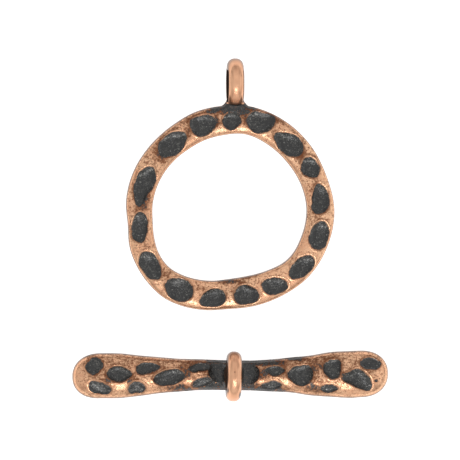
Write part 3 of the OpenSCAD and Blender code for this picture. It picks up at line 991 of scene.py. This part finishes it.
# Antiqued copper: rubbed bright on the high places, charcoal in the marks, brown specks between
def antiqueCopper():
    finish = copperFinish
    material = bpy.data.materials.new("antiqueCopper")
    material.use_nodes = True
    tree = material.node_tree
    tree.nodes.clear()
    wire = Wire(tree)
    place = wire.make("ShaderNodeTexCoord", {}, {}, "Object")

    def attribute(name):
        return wire.make("ShaderNodeAttribute", {"attribute_name": name}, {}, "Fac")

    rim = attribute("rim")
    grime = attribute("grime")
    keyFacing = attribute("keyFacing")
    steep = attribute("steep")
    onEye = attribute("onEye")
    eyeSide = attribute("eyeSide")
    eyeSpot = attribute("eyeSpot")
    land = 1 - onEye

    # grain of a given size, from about -1 to 1
    def grain(size, detail, roughness=0.6, vector=place):
        values = {
            "Vector": vector,
            "Scale": 1 / (size * mm),
            "Detail": detail,
            "Roughness": roughness,
        }
        return wire.make("ShaderNodeTexNoise", {}, values, 0) * 2 - 1

    cloud = grain(finish["cloud"], 2, 0.5)
    patch = grain(finish["patch"], 3)
    speck = grain(finish["speck"], 3)
    fine = grain(finish["fine"], 2)
    stretch = (1, finish["streakStretch"], finish["streakStretch"])
    lined = wire.make("ShaderNodeMapping", {}, {"Vector": place, "Scale": stretch})
    streak = grain(finish["streak"], 3, vector=lined)

    # the marks: a frayed edge, drawn inwards on walls that face the key light, and a brown fringe
    # round it; both leave bare copper on rims that face the key light, as a painted highlight
    edge = rim + speck * 0.13 + patch * 0.17 + keyFacing.step(0.0, 0.4) * 0.07
    inMark = 1 - edge.step(-0.04, 0.05)
    nearMark = (1 - rim.step(0.0, 0.5)) * land
    # 0 on rims that face the key light, where the painted highlight goes, and 1 elsewhere
    awayFromLitRims = 1 - keyFacing.step(0.0, 0.35) * (1 - rim.step(0.12, 0.40))
    fringe = (1 - (edge + patch * 0.2 - cloud.step(0.0, 0.5) * 0.25).step(0.0, 0.16)) * awayFromLitRims

    # patina outside them, from solid patches to single grains
    mottle = (patch + speck) * (0.4 + grime.step(0.2, 0.9) * 0.7)
    dirt = (grime + mottle).step(0.55, 0.75)
    # smudges are thinned on rims that face the key light: painted highlight
    smudge = (grime + patch * 0.35 + speck * 0.3).step(0.15, 0.75) * (0.3 + awayFromLitRims * 0.7)
    clouded = nearMark * 0.30 + grime * 0.8 + patch * 0.5 + cloud * 0.5 - onEye * 0.6
    stain = clouded.step(0.05, 0.75)
    grains = fine + speck * 0.9 + patch * 0.7 + cloud * 0.4 + nearMark * 0.15 + grime * 0.6
    # the pepper is thinned where the surface faces the key light: painted highlight
    pepper = grains.step(-0.15, 0.50) * (0.4 + awayFromLitRims * 0.6) * (1 - keyFacing.step(0.1, 0.5) * 0.45)

    # where it is charcoal dark, less what is rubbed bare. The eyes' dark sides are patina and
    # partly a painted dark reflection, and their spots hold a painted shadow at the ring eye's foot
    rubbed = (fine * 0.7 + speck * 0.7 + patch * 0.5 + grime * 0.32).step(0.60, 0.90)
    bare = (fine * 0.7 + speck * 0.8 + patch * 0.6).step(0.25, 0.65)
    side = (eyeSide + patch * 0.15).step(0.4, 0.7)
    spot = (eyeSpot + fine * 0.2).step(0.6, 0.9)
    inDirt = dirt * (1 - bare * finish["rubbedStains"])
    dark = (inMark * (1 - rubbed * finish["rubbedMarks"])).larger(inDirt).larger(side).larger(spot)

    # copper under its layers, each a mask and its colour
    glint = (speck * 0.6 - fine).step(0.02, 0.4)
    # umber on steep walls: partly patina, partly painted shade, weaker on eye walls facing the key
    # light
    wall = (steep + onEye * 0.06) * (1 - onEye * (0.25 + keyFacing * 0.65))
    fringes = (fringe * finish["brownFringes"]).larger(smudge * finish["brownSmudges"])
    layers = [
        (speck.step(-0.05, 0.35) * finish["roseSpecks"] * land, "rose"),
        (glint * land * finish["glints"], "light"),
        (onEye * finish["roseEyes"], "rose"),
        (stain * finish["brownStains"], "brown"),
        (pepper * land * finish["brownPepper"], "brown"),
        (fringes, "brown"),
        (streak.step(0.0, 0.5) * onEye * finish["brownStreaks"], "brown"),
        # eye spots and sides in brown: patina, painted shadow at the ring eye's foot, painted dark
        # reflection
        (eyeSpot + eyeSide * 0.6, "brown"),
        (wall.step(0.08, 0.80) * finish["umberWalls"], "umber"),
    ]
    lightness = ((cloud * 0.6 + patch * 0.5) * (1 - onEye * 0.6)).step(-0.3, 0.3)
    copper = lightness.blend(finish["mid"], finish["light"])
    for mask, colour in layers:
        copper = mask.blend(copper, finish[colour])

    # patina with its grey grains, painted glints that gather on walls facing the key light, and a
    # painted sheen on those walls
    ash = (fine + speck * 0.6 + patch * 0.5).step(-0.1, 0.7)
    paintedGlints = (fine + speck * 0.7).step(0.32, 0.60) * (0.45 + keyFacing * 0.55)
    # mask of the painted sheen: mark walls that face the key light
    glow = keyFacing.step(0.2, 0.6) * (1 - keyFacing.step(0.7, 1.0) * 0.6)
    paintedSheen = glow * inMark * (0.08 + (speck + fine + patch * 0.5).step(0.0, 0.6) * 0.75)
    patina = ash.blend(finish["charcoal"], finish["ash"])
    for mask in (paintedGlints, paintedSheen):
        patina = mask.blend(patina, finish["paintedSheenGrey"])

    roughness = (
        finish["roughness"]
        + onEye * 0.03
        + patch * 0.04 * land
        + pepper * 0.10
        + stain * 0.06
        - dark * (0.10 + speck * 0.15)
    )
    grainBump = speck * (finish["speckBump"] + dark * finish["patinaBump"])
    grainBump = (grainBump + fine * finish["fineBump"]) * (1 - onEye * 0.8)
    bump = wire.make("ShaderNodeBump", {}, {
        "Strength": 1.0,
        "Distance": finish["bumpHeight"] * mm,
        "Height": grainBump + streak * onEye * finish["streakBump"],
    })
    glossy = wire.make("ShaderNodeBsdfPrincipled", {}, {
        "Base Color": dark.blend(copper, patina),
        "Metallic": 1 - dark,
        "Roughness": roughness,
        "IOR": finish["patinaGloss"],
        "Normal": bump,
    })
    # dark walls and the eyes' dark sides go matte, losing the bright floor's reflection: painted
    # shade
    matte = wire.make("ShaderNodeBsdfDiffuse", {}, {"Color": finish["grime"], "Roughness": 0.5})
    matteShadeShare = side.larger(dark * wall.step(0.25, 0.8) * finish["matteWallShade"])
    shader = wire.make("ShaderNodeMixShader", {}, {0: matteShadeShare, 1: glossy, 2: matte})
    output = tree.nodes.new("ShaderNodeOutputMaterial")
    tree.links.new(shader.socket, output.inputs["Surface"])
    return material


# Gives a piece its finish, hangs it under the root body and hides the solid that it stands for
def dress(piece, node, material):
    piece.data.materials.append(material)
    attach(piece, "root")
    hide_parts(node)


whiteSheet = {
    "half": 400,  # half its side, in millimetres
    "grey": 0.7,
    "roughness": 0.9,
    "glow": 0.75,  # light of its own, so that it shows no shadow
}


# A white sheet under the pair
def makeFloor():
    half = whiteSheet["half"] * mm
    mesh = bpy.data.meshes.new("floor")
    corners = [(-half, -half, 0), (half, -half, 0), (half, half, 0), (-half, half, 0)]
    mesh.from_pydata(corners, [], [(0, 1, 2, 3)])
    floor = bpy.data.objects.new("floor", mesh)
    bpy.context.scene.collection.objects.link(floor)
    material = bpy.data.materials.new("whiteSheet")
    material.use_nodes = True
    inputs = material.node_tree.nodes["Principled BSDF"].inputs
    inputs["Base Color"].default_value = (whiteSheet["grey"],) * 3 + (1,)
    inputs["Roughness"].default_value = whiteSheet["roughness"]
    inputs["Specular IOR Level"].default_value = 0
    inputs["Emission Color"].default_value = (1, 1, 1, 1)
    inputs["Emission Strength"].default_value = whiteSheet["glow"]
    mesh.materials.append(material)


# Lights: name, azimuth with 0 below the picture, elevation, then distance, width and height in
# millimetres, and power in watts
softBoxes = [
    ["key", 2, 62, 180, 20, 34, 0.019],
    ["keyLow", 2, 46, 180, 20, 22, 0.009],
    ["front", 0, 42, 330, 340, 240, 0.078],
    ["low", 0, 16, 330, 400, 120, 0.05],
    ["back", 180, 42, 330, 340, 300, 0.110],
    ["sky", 0, 86, 700, 1000, 900, 0.95],
    ["left", -90, 31, 330, 420, 250, 0.086],
    ["right", 90, 32, 330, 420, 230, 0.160],
]
surroundings = 0.50  # brightness of the white room round them


# A soft box that looks at the middle of the pair
def softBox(name, azimuth, elevation, distance, width, height, power):
    light = bpy.data.lights.new(name, "AREA")
    light.shape = "RECTANGLE"
    light.size = width * mm
    light.size_y = height * mm
    light.energy = power
    turn = math.radians(azimuth)
    lift = math.radians(elevation)
    across = math.cos(lift) * distance * mm
    up = math.sin(lift) * distance * mm
    away = Vector((math.sin(turn) * across, -math.cos(turn) * across, up))
    holder = bpy.data.objects.new(name, light)
    holder.location = away
    holder.rotation_euler = away.to_track_quat("Z", "Y").to_euler()
    bpy.context.scene.collection.objects.link(holder)


# The white room, its soft boxes and the plain look of a screen
def lightScene():
    world = bpy.data.worlds.new("studio")
    world.use_nodes = True
    background = world.node_tree.nodes["Background"]
    background.inputs["Color"].default_value = (1, 1, 1, 1)
    background.inputs["Strength"].default_value = surroundings
    bpy.context.scene.world = world
    for box in softBoxes:
        softBox(*box)
    bpy.context.scene.view_settings.view_transform = "Standard"


# The camera, far above the pair. Lengths are in millimetres
view = {
    "framePixels": 460,
    "pixelsPerMm": 9.06,  # the sizes were taken at 9.04, and this fits both outlines best
    "distance": 600,
    "leanLeft": 3.2,  # degrees that the camera stands to the left of straight above
    "aimHeight": 1.5,  # point that it looks at: height, and place from the middle of the pair
    "aimRight": -0.04,
    "aimUp": -0.045,
    "sensor": 36,
    "clipStart": 10,
}


# The camera looks down on the pair, with the ring's eye at the top of the picture
def placeCamera():
    middle = (Vector(cadBox[0]) + Vector(cadBox[1])) / 2
    aim = Vector((
        middle.x + view["aimRight"] * mm,
        middle.y + view["aimUp"] * mm,
        view["aimHeight"] * mm,
    ))
    away = Vector((-math.tan(math.radians(view["leanLeft"])), 0, 1)).normalized()
    right = Vector((0, 1, 0)).cross(away).normalized()
    data = bpy.data.cameras.new("camera")
    data.sensor_width = view["sensor"]
    data.lens = view["sensor"] * view["distance"] * view["pixelsPerMm"] / view["framePixels"]
    data.clip_start = view["clipStart"] * mm
    camera = bpy.data.objects.new("camera", data)
    camera.location = aim + away * view["distance"] * mm
    camera.rotation_euler = Matrix((right, away.cross(right), away)).transposed().to_euler()
    bpy.context.scene.collection.objects.link(camera)
    bpy.context.scene.camera = camera


placeCamera()
lightScene()
makeFloor()
print("stage: camera, lights and floor are in place")
copper = antiqueCopper()
dress(makeRing(), "toggle_ring", copper)
print("stage: the ring is made")
dress(makeBar(), "toggle_bar", copper)
print("stage: the bar is made")
